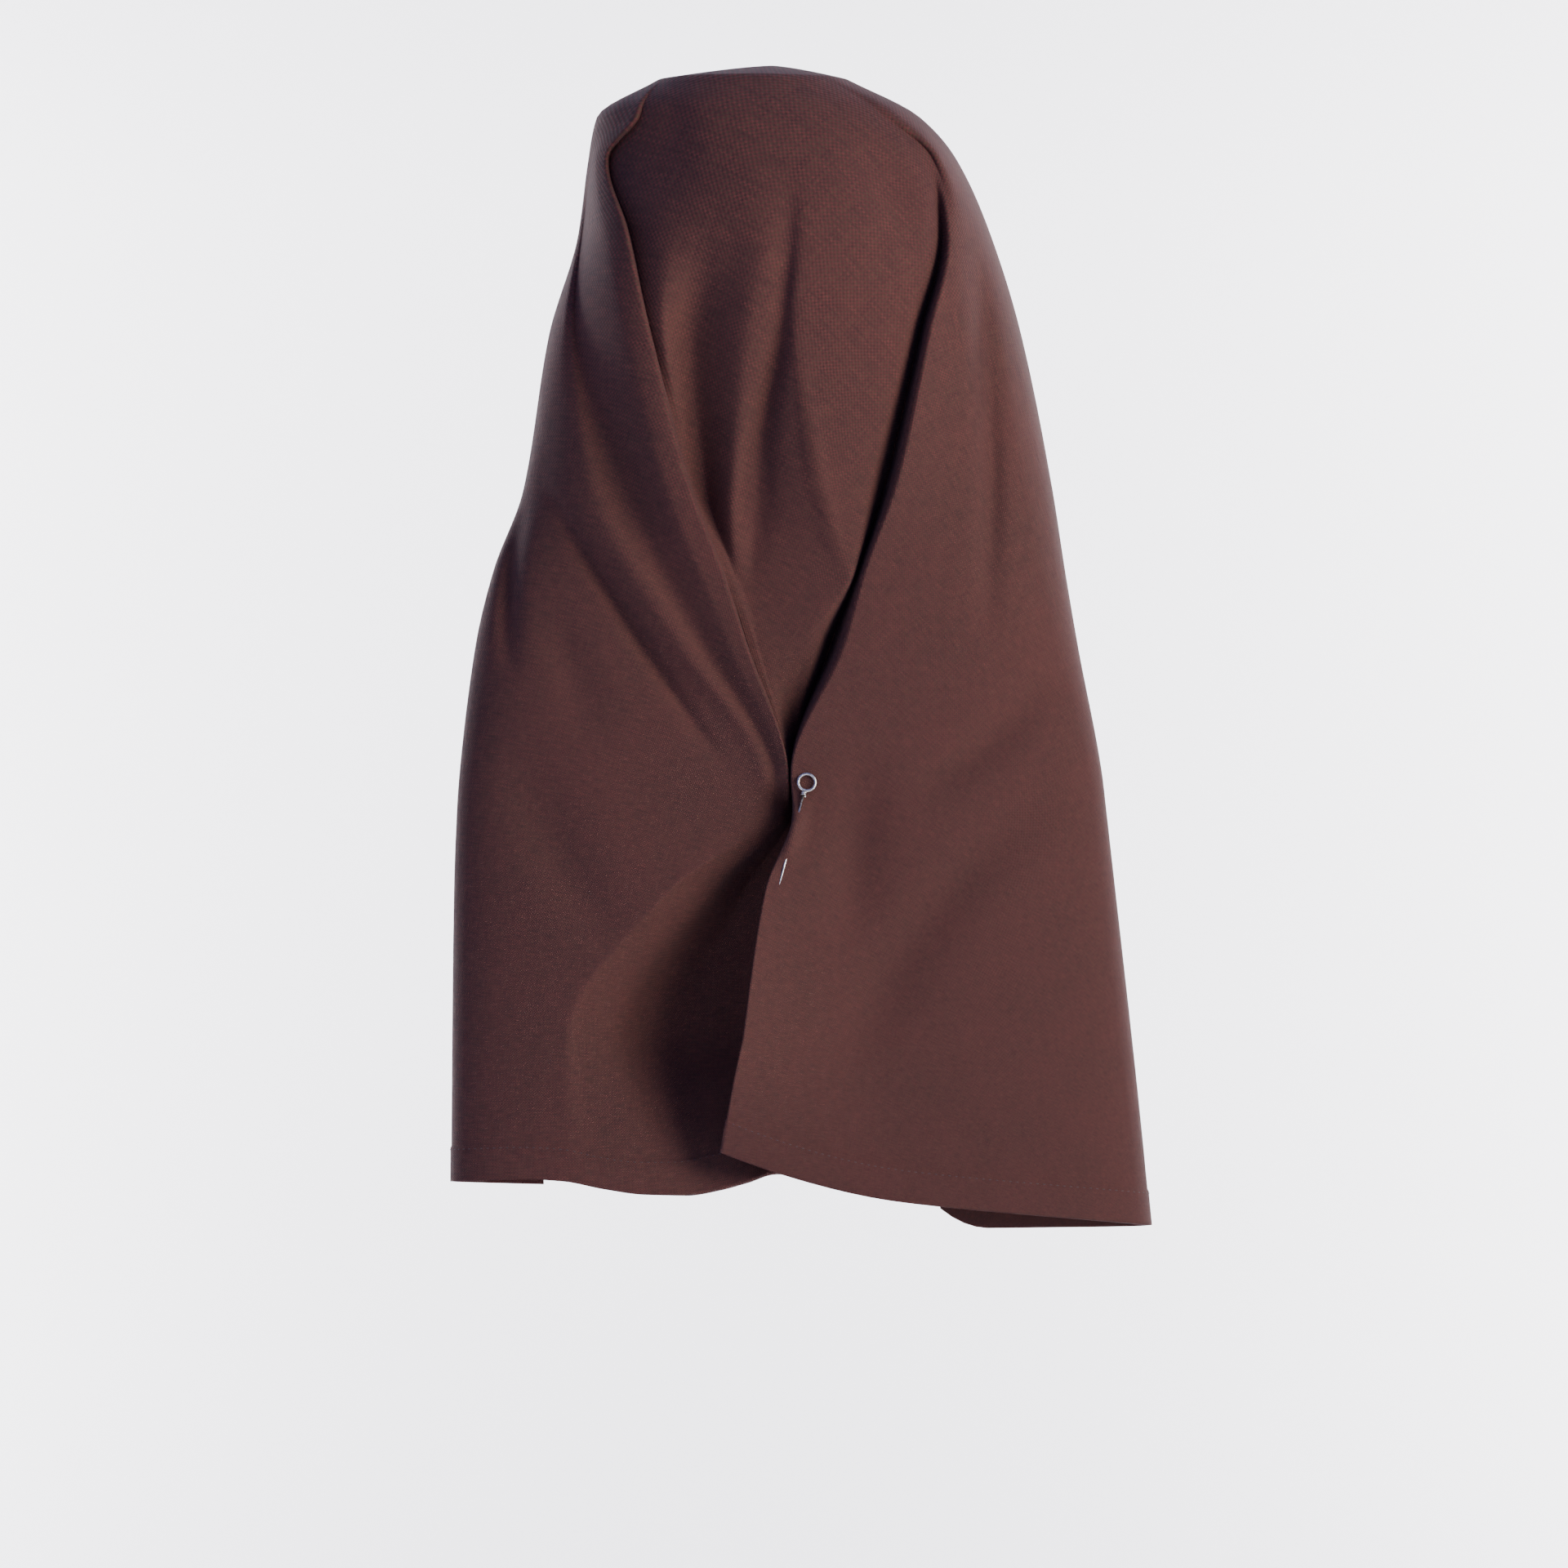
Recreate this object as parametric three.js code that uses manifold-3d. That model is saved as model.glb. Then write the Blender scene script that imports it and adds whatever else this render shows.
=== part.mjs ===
// A brown cloth veil, worn over the head, drawn back and pinned at the nape with a ring-headed pin.
// Millimetres. +X is the wearer's right, +Y is the way the wearer faces, +Z is up.
// The origin is the underside of the cloth on top of the crown, where the head carries the veil.
import * as THREE from 'three';
import { mergeVertices } from 'three/addons/utils/BufferGeometryUtils.js';
import Module from 'manifold-3d';

const wasm = await Module();
wasm.setup();

// Driving sizes of the veil
const VEIL_DROP = 573;
const HEAD_WIDTH = 208;
const HEAD_DEPTH = 192;
const HEM_WIDTH = 342;
const CLOTH_WALL = 1.2;
const HEM_WALL = 2.2;
const HEM_TURN = 14;
const FOLD_DEPTH = 30;
const FLAP_CORNER_WIDTH = 24;
const FLAP_CORNER_RISE = 10;

// Driving sizes of the pin
const PIN_LENGTH = 58;
const PIN_WIRE = 1.1;
const RING_DIAMETER = 9.8;
const RING_WIRE = 1.5;
const WRAP_WIRE = 0.9;
const WRAP_TURNS = 2.25;
const PIN_POINT = 7;
const PIN_TIP = 0.44;
const PIN_TIP_LENGTH = 0.5;
const PIN_CLEARANCE = 0.3;
const ENTRY_OFF = 2.05;
const EXIT_OFF = 0.45;
const SHAFT_SIDES = 10;
const RING_SIDES = 28;
const RING_WIRE_SIDES = 8;
const WRAP_SIDES = 7;
const WRAP_STEPS = 26;

// Sections of the veil from the crown down to the hem.
// drop is a share of VEIL_DROP. left and right are the reach to each side, as shares of wide. back,
// side and front are depths, as shares of HEAD_DEPTH, and a larger square gives squarer sides.
const HEAD = HEAD_WIDTH;
const HEM = HEM_WIDTH;
const SECTIONS = [
  { drop: 0.0127, wide: HEAD, left: 0.271, right: 0.181, back: 0.24, side: 0, front: 0.21, square: 2 },
  { drop: 0.0445, wide: HEAD, left: 0.415, right: 0.35, back: 0.34, side: 0, front: 0.38, square: 2 },
  { drop: 0.0813, wide: HEAD, left: 0.435, right: 0.438, back: 0.41, side: 0, front: 0.49, square: 2.1 },
  { drop: 0.1476, wide: HEAD, left: 0.459, right: 0.519, back: 0.49, side: -0.03, front: 0.44, square: 2.2 },
  { drop: 0.2334, wide: HEAD, left: 0.526, right: 0.589, back: 0.51, side: -0.1, front: 0.37, square: 2.2 },
  { drop: 0.3680, wide: HEAD, left: 0.585, right: 0.661, back: 0.51, side: -0.2, front: 0.25, square: 2.3 },
  { drop: 0.4386, wide: HEAD, left: 0.655, right: 0.69, back: 0.52, side: -0.25, front: 0.16, square: 2.4 },
  { drop: 0.5018, wide: HEM, left: 0.423, right: 0.437, back: 0.53, side: -0.29, front: 0.03, square: 2.5 },
  { drop: 0.6135, wide: HEM, left: 0.445, right: 0.471, back: 0.55, side: -0.36, front: -0.24, square: 2.7 },
  { drop: 0.6400, wide: HEM, left: 0.448, right: 0.476, back: 0.557, side: -0.37, front: -0.26, square: 2.7 },
  { drop: 0.7107, wide: HEM, left: 0.452, right: 0.489, back: 0.58, side: -0.39, front: -0.32, square: 2.8 },
  { drop: 0.8352, wide: HEM, left: 0.454, right: 0.512, back: 0.6, side: -0.41, front: -0.34, square: 3 },
  { drop: 0.9050, wide: HEM, left: 0.4545, right: 0.524, back: 0.61, side: -0.42, front: -0.35, square: 3 },
  { drop: 1.0000, wide: HEM, left: 0.455, right: 0.539, back: 0.62, side: -0.43, front: -0.36, square: 3 },
];
const BROW = SECTIONS[2].drop;
const TEMPLE = SECTIONS[3].drop;
const SKIRT = SECTIONS[11].drop;

// The lines that the cloth runs through, from its left front edge round the back to its right one.
// across has one share for each section, 0 at the left side and 1 at the right. proud is how far
// the line stands out from the plain section, as a share of FOLD_DEPTH. hem is the line's own drop,
// and cells is how many strips of cloth lie between it and the next line. edge says where across
// the section a front edge lies.
const LINES = [
  { name: 'left_edge', cells: 5, hem: 0.962,
    edge: [0.5, 0.5, 0.5, 0.14, 0.13, 0.19, 0.215, 0.24, 0.2, 0.185, 0.15, 0.135, 0.132, 0.13] },
  { name: 'left_side', cells: 3, hem: 0.9585,
    across: [0, 0, 0, 0, 0, 0, 0, 0, 0, 0, 0, 0, 0, 0],
    proud: [0, 0, 0, 0, 0, 0, 0, 0, 0, 0, 0, 0, 0, 0] },
  { name: 'left_valley', cells: 2, hem: 0.955,
    across: [0.006, 0.006, 0.003, 0.003, 0.028, 0.04, 0.165, 0.265, 0.435, 0.447, 0.25, 0.103, 0.106, 0.105],
    proud: [0, 0, 0, 0, 0, -0.08, -0.22, -0.22, -0.08, -0.15, -0.03, 0, 0, 0] },
  { name: 'left_ridge', cells: 2, hem: 0.9565,
    across: [0.01, 0.012, 0.006, 0.008, 0.047, 0.124, 0.244, 0.342, 0.473, 0.476, 0.32, 0.163, 0.162, 0.16],
    proud: [0, 0, 0, -0.1, -0.1, -0.02, -0.03, -0.03, -0.03, -0.25, -0.02, 0, 0, 0] },
  { name: 'roll_foot', cells: 2, hem: 0.963,
    across: [0.014, 0.02, 0.01, 0.014, 0.066, 0.191, 0.297, 0.379, 0.49, 0.4935, 0.34, 0.188, 0.198, 0.219],
    proud: [0, 0, 0, -0.2, -0.25, -0.3, -0.2, -0.15, -0.08, -0.35, -0.12, -0.1, -0.08, -0.03] },
  { name: 'roll_crest', cells: 2, hem: 0.9675,
    across: [0.022, 0.085, 0.028, 0.075, 0.17, 0.276, 0.365, 0.424, 0.5025, 0.5036, 0.382, 0.233, 0.25, 0.277],
    proud: [0, 0, 0.1, 0.15, 0.15, 0.1, 0.08, 0.06, 0, -0.45, -0.42, -0.34, -0.2, -0.06] },
  { name: 'roll_edge', cells: 1, hem: 0.968,
    across: [0.034, 0.127, 0.05, 0.117, 0.21, 0.312, 0.397, 0.447, 0.5102, 0.51, 0.412, 0.28, 0.3, 0.336],
    proud: [0, 0.05, 0.15, 0.25, 0.2, 0.12, 0.1, 0.1, 0.05, -0.55, -0.92, -0.88, -0.52, -0.1] },
  { name: 'roll_hollow', cells: 2, hem: 0.9635,
    across: [0.055, 0.142, 0.067, 0.135, 0.219, 0.321, 0.405, 0.455, 0.5115, 0.513, 0.441, 0.356, 0.358, 0.383],
    proud: [0, -0.1, -0.14, -0.2, -0.05, -0.3, -0.1, -0.1, -0.1, -0.65, -1.2, -1.38, -0.9, -0.15] },
  { name: 'strip_one', cells: 2, hem: 0.957,
    across: [0.12, 0.23, 0.19, 0.21, 0.242, 0.33, 0.412, 0.463, 0.5125, 0.5143, 0.462, 0.416, 0.405, 0.423],
    proud: [0, -0.1, -0.2, -0.08, 0, -0.52, -0.15, -0.1, -0.15, -0.7, -1.15, -1.5, -1, -0.15] },
  { name: 'deep_valley', cells: 2, hem: 0.95,
    across: [0.22, 0.345, 0.32, 0.32, 0.31, 0.347, 0.42, 0.47, 0.5132, 0.5155, 0.486, 0.452, 0.448, 0.464],
    proud: [0, 0, -0.05, -0.12, -0.48, -0.62, -0.2, -0.12, -0.2, -0.8, -1, -1.3, -0.9, -0.25] },
  { name: 'strip_two', cells: 2, hem: 0.9505,
    across: [0.35, 0.478, 0.453, 0.449, 0.424, 0.397, 0.43, 0.478, 0.514, 0.5168, 0.505, 0.466, 0.474, 0.505],
    proud: [0, 0, 0, -0.03, -0.08, -0.2, -0.2, -0.12, -0.3, -0.9, -0.75, -0.9, -0.65, -0.3] },
  { name: 'channel', cells: 2, hem: 0.949,
    across: [0.48, 0.575, 0.536, 0.509, 0.489, 0.428, 0.459, 0.49, 0.5146, 0.5174, 0.501, 0.462, 0.472, 0.505],
    proud: [0, 0, 0, -0.08, -0.2, -0.3, -0.2, -0.12, -0.5, -0.85, -0.55, -0.5, -0.45, -0.2] },
  { name: 'crease', cells: 2, hem: 0.944,
    across: [0.58, 0.655, 0.603, 0.559, 0.525, 0.56, 0.623, 0.546, 0.5153, 0.518, 0.489, 0.45, 0.453, 0.464],
    proud: [0, 0, 0, 0, -0.02, 0.06, 0.05, -0.1, -0.7, -0.7, -0.3, -0.28, -0.24, -0.15] },
  { name: 'slit_lip', cells: 1, hem: 0.9395,
    across: [0.74, 0.78, 0.884, 0.845, 0.758, 0.655, 0.63, 0.568, 0.5159, 0.5187, 0.484, 0.444, 0.44, 0.438],
    proud: [0, 0, 0, -0.03, -0.08, -0.08, 0, -0.15, -0.8, -0.5, -0.15, -0.1, -0.12, -0.1] },
  { name: 'slit_floor', cells: 1, hem: 0.9365,
    across: [0.78, 0.82, 0.905, 0.876, 0.785, 0.682, 0.637, 0.59, 0.5165, 0.5193, 0.479, 0.438, 0.425, 0.412],
    proud: [0, 0, 0.02, -0.35, -0.8, -0.8, -0.85, -1, -0.5, -0.3, 0, 0.15, 0.05, -0.05] },
  { name: 'lap_edge', cells: 5, hem: 0.9314,
    across: [0.86, 0.865, 0.925, 0.897, 0.807, 0.704, 0.652, 0.614, 0.5176, 0.5199, 0.472, 0.429, 0.409, 0.387],
    proud: [0, 0, 0.05, 0.1, 0.15, 0.15, 0.12, 0.1, 0.12, 0.12, 0.45, 0.8, 0.6, 0.2] },
  { name: 'right_ridge', cells: 4, hem: 0.9725,
    across: [0.92, 0.924, 0.946, 0.928, 0.873, 0.819, 0.8, 0.77, 0.7, 0.695, 0.66, 0.644, 0.637, 0.628],
    proud: [0, 0.15, 0.3, 0.18, 0.12, 0.08, 0.12, 0.1, 0.05, 0.05, 0.05, 0.05, 0.05, 0.05] },
  { name: 'right_side', cells: 8, hem: 0.9958,
    across: [1, 1, 1, 1, 1, 1, 1, 1, 1, 1, 1, 1, 1, 1],
    proud: [0, 0, 0, 0, 0, 0, 0, 0, 0, 0, 0, 0, 0, 0] },
  { name: 'right_edge', cells: 0, hem: 1,
    edge: [0.5, 0.5, 0.5, 0.8, 0.81, 0.765, 0.76, 0.757, 0.766, 0.76, 0.74, 0.716, 0.709, 0.7] },
];
const LAP_EDGE = LINES.findIndex((line) => line.name === 'lap_edge');

// Soft dents and ridges that lie across the plain stretches. Each runs down through three places,
// given as a share of the drop and of the width. proud is a share of FOLD_DEPTH, and spread is the
// fold's half width as a share of HEAD_WIDTH.
const SOFT_FOLDS = [
  { name: 'shoulder_dent', drop: [0.36, 0.435, 0.53], across: [0, 0.03, 0.065], proud: -0.22, spread: 0.03 },
  { name: 'left_dent', drop: [0.46, 0.53, 0.59], across: [0.11, 0.17, 0.21], proud: -0.08, spread: 0.05 },
  { name: 'lower_left_dent', drop: [0.58, 0.67, 0.77], across: [0.09, 0.15, 0.245], proud: -0.12, spread: 0.07 },
  { name: 'crown_dent', drop: [0.06, 0.11, 0.17], across: [0.77, 0.78, 0.77], proud: -0.15, spread: 0.05 },
  { name: 'temple_dent', drop: [0.13, 0.26, 0.5], across: [0.95, 0.91, 0.85], proud: -0.2, spread: 0.03 },
  { name: 'pin_drag', drop: [0.59, 0.67, 0.77], across: [0.64, 0.61, 0.594], proud: -0.12, spread: 0.06 },
  { name: 'right_dent', drop: [0.52, 0.58, 0.64], across: [0.95, 0.84, 0.7], proud: -0.12, spread: 0.07 },
  { name: 'right_sweep', drop: [0.61, 0.73, 0.87], across: [0.94, 0.72, 0.56], proud: -0.12, spread: 0.08 },
];

// The pin enters and leaves the lapped panel at these drops. lap is the place between the lap edge
// and the right ridge, and off is how far the pin stands off the panel there. The cloth stands in a
// pucker over the pin between the two, which reaches past them by a share of their distance.
const PIN_ENTRY = { drop: 0.640, lap: 0.185, off: ENTRY_OFF };
const PIN_EXIT = { drop: 0.678, lap: 0.2, off: EXIT_OFF };
const PUCKER_HEIGHT = 5;
const PUCKER_SPREAD = 4.0;
const PUCKER_REACH = 0.25;

// A smooth curve through values at knots, that never swings past a value
function through(knots, values, at) {
  const last = knots.length - 1;
  let i = 0;
  while (i < last - 1 && at > knots[i + 1]) {
    i += 1;
  }
  const slope = (k) => (values[k + 1] - values[k]) / (knots[k + 1] - knots[k]);
  const tangent = (k) => {
    if (k === 0 || k === last) {
      return slope(k === 0 ? 0 : last - 1);
    }
    const before = slope(k - 1);
    const after = slope(k);
    return before * after > 0 ? (2 * before * after) / (before + after) : 0;
  };
  const span = knots[i + 1] - knots[i];
  const u = THREE.MathUtils.clamp((at - knots[i]) / span, 0, 1);
  const bend = u * u * (3 - 2 * u);
  const start = u * (1 - u) * (1 - u) * span * tangent(i);
  const end = u * u * (u - 1) * span * tangent(i + 1);
  return values[i] * (1 - bend) + values[i + 1] * bend + start + end;
}

const DROPS = SECTIONS.map((section) => section.drop);

// The plain section of the veil at a drop
function sectionAt(drop) {
  const size = (value) => through(DROPS, SECTIONS.map(value), drop);
  return {
    left: size((s) => -s.left * s.wide),
    right: size((s) => s.right * s.wide),
    back: size((s) => -s.back * HEAD_DEPTH),
    side: size((s) => s.side * HEAD_DEPTH),
    front: size((s) => s.front * HEAD_DEPTH),
    square: size((s) => s.square),
  };
}

// How far the front is open: closed above the brow, then a round arch down to the temples
function opening(drop) {
  const fall = THREE.MathUtils.clamp((drop - BROW) / (TEMPLE - BROW), 0, 1);
  return Math.sqrt(1 - (1 - fall) * (1 - fall));
}

// Where a front edge lies across the section: on the middle above the brow, apart below it
const MIDDLE = 0.5;
function edgeAt(line, drop) {
  const shares = line.edge.map((share, i) => (DROPS[i] <= BROW ? line.edge[3] : share));
  return MIDDLE + (through(DROPS, shares, drop) - MIDDLE) * opening(drop);
}

// How far the soft folds push the cloth out at a place
function softRelief(x, drop, section) {
  let relief = 0;
  for (const fold of SOFT_FOLDS) {
    const reach = (drop - fold.drop[0]) / (fold.drop[2] - fold.drop[0]);
    if (reach <= 0 || reach >= 1) {
      continue;
    }
    const across = through(fold.drop, fold.across, drop);
    const centre = section.left + across * (section.right - section.left);
    const off = (x - centre) / (fold.spread * HEAD_WIDTH);
    relief += fold.proud * FOLD_DEPTH * Math.sin(Math.PI * reach) * Math.exp(-off * off);
  }
  return relief;
}

// A place on the cloth's middle surface. along counts the lines: 0 is the left front edge.
const LEFT_FRONT = -Math.PI / 2;
const RIGHT_FRONT = 1.5 * Math.PI;
function clothPoint(drop, along) {
  const section = sectionAt(drop);
  const width = section.right - section.left;
  const knots = LINES.map((line, i) => i);
  // Lines are held as angles round the section, so that its sides come out round
  const angles = LINES.map((line) => {
    if (line.edge) {
      return line.name === 'left_edge' ? LEFT_FRONT : RIGHT_FRONT;
    }
    return Math.acos(1 - 2 * through(DROPS, line.across, drop));
  });
  const proud = LINES.map((line) => (line.edge ? 0 : through(DROPS, line.proud, drop)));
  const angle = through(knots, angles, along);
  const across = -Math.cos(angle);
  const rounding = Math.max(0, 1 - Math.abs(across) ** section.square) ** (1 / section.square);
  let foot = through(knots, LINES.map((line) => line.hem), along);
  let x = (section.left + section.right) / 2 + (across * width) / 2;
  let y = section.side + (section.back - section.side) * rounding;
  if (Math.sin(angle) >= 0) {
    y -= through(knots, proud, along) * FOLD_DEPTH + softRelief(x, drop, section);
  } else {
    const leftward = across <= 0;
    const line = leftward ? LINES[0] : LINES[LINES.length - 1];
    const edge = section.left + edgeAt(line, drop) * width;
    const side = leftward ? section.left : section.right;
    x = edge + (side - edge) * Math.abs(across);
    y = section.side + (section.front - section.side) * rounding;
    // The right flap's free corner is rounded off at the hem
    const corner = Math.max(0, 1 - Math.abs(x - edge) / FLAP_CORNER_WIDTH);
    foot -= leftward ? 0 : (corner * corner * FLAP_CORNER_RISE) / VEIL_DROP;
  }
  const skirtShare = Math.max(0, (drop - SKIRT) / (1 - SKIRT));
  const level = drop <= SKIRT ? drop : SKIRT + (foot - SKIRT) * skirtShare;
  return new THREE.Vector3(x, y, -level * VEIL_DROP);
}

// Rows of the cloth from the crown's pole to the hem, each a share of the drop
const CROWN_RINGS = 5;
const CROWN_ROUNDNESS = 1.3;
const ROWS_BETWEEN = [2, 2, 6, 3, 5, 3, 3, 5, 1, 4, 4, 2, 2];
function rowDrops() {
  const drops = [];
  SECTIONS.slice(0, -1).forEach((section, i) => {
    const below = SECTIONS[i + 1].drop;
    for (let k = 0; k < ROWS_BETWEEN[i]; k += 1) {
      const share = k / ROWS_BETWEEN[i];
      const step = section.drop === BROW ? 1 - Math.cos((share * Math.PI) / 2) : share;
      drops.push(section.drop + step * (below - section.drop));
    }
  });
  drops.push(1 - HEM_TURN / VEIL_DROP, 1);
  return drops;
}

// Strips of the cloth from the left front edge to the right one, as places along the lines
function columnPlaces() {
  const places = [];
  LINES.forEach((line, i) => {
    for (let k = 0; k < Math.max(line.cells, 1); k += 1) {
      places.push(i + k / Math.max(line.cells, 1));
    }
  });
  return places;
}

// The pin's axis: it lies just proud of the panel, from its ring down to its point
const PIN_LIFT = CLOTH_WALL / 2 + RING_WIRE / 2 + PIN_CLEARANCE;
function pinPlace(place) {
  const point = clothPoint(place.drop, LAP_EDGE + place.lap);
  point.y -= PIN_LIFT + place.off;
  return point;
}
const pinIn = pinPlace(PIN_ENTRY);
const pinOut = pinPlace(PIN_EXIT);
const pinDown = pinOut.clone().sub(pinIn).normalize();
const RING_SHARE = 0.22;
const ringCentre = pinIn.clone().addScaledVector(pinDown, -RING_SHARE * PIN_LENGTH);

// The pucker: the cloth rises over the pin between the places where it goes in and out
function pucker(point) {
  const alongPin = point.clone().sub(pinIn).dot(pinDown);
  const span = pinIn.distanceTo(pinOut);
  const share = (alongPin + span * PUCKER_REACH) / (span * (1 + 2 * PUCKER_REACH));
  if (share <= 0 || share >= 1) {
    return 0;
  }
  const aside = (point.x - pinIn.x - pinDown.x * alongPin) / PUCKER_SPREAD;
  return PUCKER_HEIGHT * Math.sin(Math.PI * share) ** 2 * Math.exp(-aside * aside);
}

// The cloth's middle surface as an indexed grid: one pole, closed rings to the brow, open rows below
function middleSurface() {
  const drops = rowDrops();
  const places = columnPlaces();
  const top = new THREE.Vector3(0, 0, 0);
  const points = [top];
  const rows = [];
  const addRow = (make, closed) => {
    const row = places.map((place, c) => {
      if (closed && c === places.length - 1) {
        return -1;
      }
      points.push(make(place));
      return points.length - 1;
    });
    if (closed) {
      row[row.length - 1] = row[0];
    }
    rows.push(row);
  };
  for (let ring = 1; ring < CROWN_RINGS; ring += 1) {
    const share = ring / CROWN_RINGS;
    addRow((place) => {
      const point = clothPoint(drops[0], place).multiplyScalar(share);
      point.z = clothPoint(drops[0], place).z * share ** CROWN_ROUNDNESS;
      return point;
    }, true);
  }
  for (const drop of drops) {
    addRow((place) => {
      const point = clothPoint(drop, place);
      if (place > LAP_EDGE && place < LAP_EDGE + 1) {
        point.y -= pucker(point);
      }
      return point;
    }, drop <= BROW);
  }
  return { points, rows };
}

// The cloth as a closed wall: both faces of the middle surface, joined round its edges.
// The turned-up hem is thicker than the single cloth.
function veilCloth() {
  const { points, rows } = middleSurface();
  const faces = [];
  rows[0].forEach((vertex, c) => {
    if (c > 0) {
      faces.push([0, rows[0][c - 1], vertex]);
    }
  });
  for (let r = 1; r < rows.length; r += 1) {
    for (let c = 1; c < rows[r].length; c += 1) {
      const [a, b, d, e] = [rows[r - 1][c - 1], rows[r][c - 1], rows[r][c], rows[r - 1][c]];
      faces.push([a, b, d], [a, d, e]);
    }
  }
  const middle = new THREE.BufferGeometry();
  const places = points.flatMap((point) => point.toArray());
  middle.setAttribute('position', new THREE.Float32BufferAttribute(places, 3));
  middle.setIndex(faces.flat());
  middle.computeVertexNormals();
  const normals = middle.getAttribute('normal');
  const hemRows = new Set(rows.slice(-2).flat());
  const wall = (index) => (hemRows.has(index) ? HEM_WALL : CLOTH_WALL);
  const shell = [];
  for (const outward of [1, -1]) {
    points.forEach((point, i) => {
      const normal = new THREE.Vector3().fromBufferAttribute(normals, i);
      shell.push(...point.clone().addScaledVector(normal, (outward * wall(i)) / 2).toArray());
    });
  }
  const under = (i) => i + points.length;
  const skin = faces.flatMap(([a, b, c]) => [a, b, c, under(a), under(c), under(b)]);
  const open = rows.filter((row) => row[0] !== row[row.length - 1]);
  const firstOpen = rows.indexOf(open[0]);
  const rim = [];
  for (let r = firstOpen - 1; r < rows.length; r += 1) {
    rim.push(rows[r][0]);
  }
  rim.push(...rows[rows.length - 1].slice(1));
  for (let r = rows.length - 2; r >= firstOpen - 1; r -= 1) {
    rim.push(rows[r][rows[r].length - 1]);
  }
  for (let i = 1; i < rim.length; i += 1) {
    const [a, b] = [rim[i - 1], rim[i]];
    skin.push(a, under(b), b, a, under(a), under(b));
  }
  const geometry = new THREE.BufferGeometry();
  geometry.setAttribute('position', new THREE.Float32BufferAttribute(shell, 3));
  geometry.setIndex(skin);
  return geometry;
}

// A helix round the Z axis, for the wire's wraps below the ring
class Helix extends THREE.Curve {
  constructor(radius, height, turns) {
    super();
    Object.assign(this, { radius, height, turns });
  }

  getPoint(t, target = new THREE.Vector3()) {
    const angle = t * this.turns * 2 * Math.PI;
    return target.set(this.radius * Math.cos(angle), this.radius * Math.sin(angle), this.height * t);
  }
}

function circle(radius, sides) {
  const corners = [];
  for (let i = 0; i < sides; i += 1) {
    const angle = (i / sides) * 2 * Math.PI;
    corners.push(new THREE.Vector2(radius * Math.cos(angle), radius * Math.sin(angle)));
  }
  return new THREE.Shape(corners);
}

// A closed mesh as a solid that can be joined and cut
const SAME_PLACE = 1e-4;
function solid(geometry) {
  const source = geometry.clone();
  source.deleteAttribute('normal');
  source.deleteAttribute('uv');
  const merged = mergeVertices(source, SAME_PLACE);
  const vertProperties = new Float32Array(merged.getAttribute('position').array);
  const triVerts = new Uint32Array(merged.getIndex().array);
  return new wasm.Manifold(new wasm.Mesh({ numProp: 3, vertProperties, triVerts }));
}

// The pin, upright with its ring's centre at the origin. grown makes every wire thicker.
function pinSolid(grown) {
  const shaftRadius = PIN_WIRE / 2 + grown;
  const pointZ = RING_DIAMETER / 2 - PIN_LENGTH;
  const shaftTop = RING_WIRE - RING_DIAMETER / 2;
  const profile = [
    new THREE.Vector2(0, pointZ - grown),
    new THREE.Vector2(PIN_TIP / 2 + grown, pointZ + PIN_TIP_LENGTH),
    new THREE.Vector2(shaftRadius, pointZ + PIN_POINT),
    new THREE.Vector2(shaftRadius, shaftTop),
    new THREE.Vector2(0, shaftTop),
  ];
  const shaft = new THREE.LatheGeometry(profile, SHAFT_SIDES).rotateX(Math.PI / 2);
  const ringRadius = (RING_DIAMETER - RING_WIRE) / 2;
  const ringWire = RING_WIRE / 2 + grown;
  const ring = new THREE.TorusGeometry(ringRadius, ringWire, RING_WIRE_SIDES, RING_SIDES);
  ring.rotateX(Math.PI / 2);
  const wrapHeight = WRAP_TURNS * WRAP_WIRE;
  const helix = new Helix((PIN_WIRE + WRAP_WIRE) / 2, wrapHeight, WRAP_TURNS);
  const wire = circle(WRAP_WIRE / 2 + grown, WRAP_SIDES);
  const wraps = new THREE.ExtrudeGeometry(wire, { steps: WRAP_STEPS, extrudePath: helix });
  wraps.translate(0, 0, -RING_DIAMETER / 2 - wrapHeight);
  return [shaft, ring, wraps].map(solid).reduce((whole, piece) => whole.add(piece));
}

// Turns the pin along its axis, with the ring facing the way the cloth faces
function placePin(piece) {
  const up = pinDown.clone().negate();
  const across = new THREE.Vector3().crossVectors(new THREE.Vector3(0, 1, 0), up).normalize();
  const facing = new THREE.Vector3().crossVectors(up, across);
  const turn = new THREE.Matrix4().makeBasis(across, facing, up).setPosition(ringCentre);
  return piece.transform(turn.elements);
}

function meshOf(name, piece, colour, roughness, metalness) {
  const { vertProperties, triVerts } = piece.getMesh();
  const geometry = new THREE.BufferGeometry();
  geometry.setAttribute('position', new THREE.BufferAttribute(new Float32Array(vertProperties), 3));
  geometry.setIndex(Array.from(triVerts));
  geometry.computeVertexNormals();
  const material = new THREE.MeshStandardMaterial({ color: colour, roughness, metalness });
  const mesh = new THREE.Mesh(geometry, material);
  mesh.name = name;
  return mesh;
}

const cloth = solid(veilCloth()).subtract(placePin(pinSolid(PIN_CLEARANCE)));
const pin = placePin(pinSolid(0));

const veil = new THREE.Group();
veil.add(meshOf('veil_cloth', cloth, 0x573934, 0.92, 0));
veil.add(meshOf('veil_pin', pin, 0xb9b6b0, 0.32, 1));

export default veil;
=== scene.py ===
import logging
import math
from dataclasses import dataclass
from enum import Enum
from typing import Any, Callable, Iterable, Mapping, Sequence, Union

import bpy
import numpy as np
from mathutils import Matrix, Vector


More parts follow.
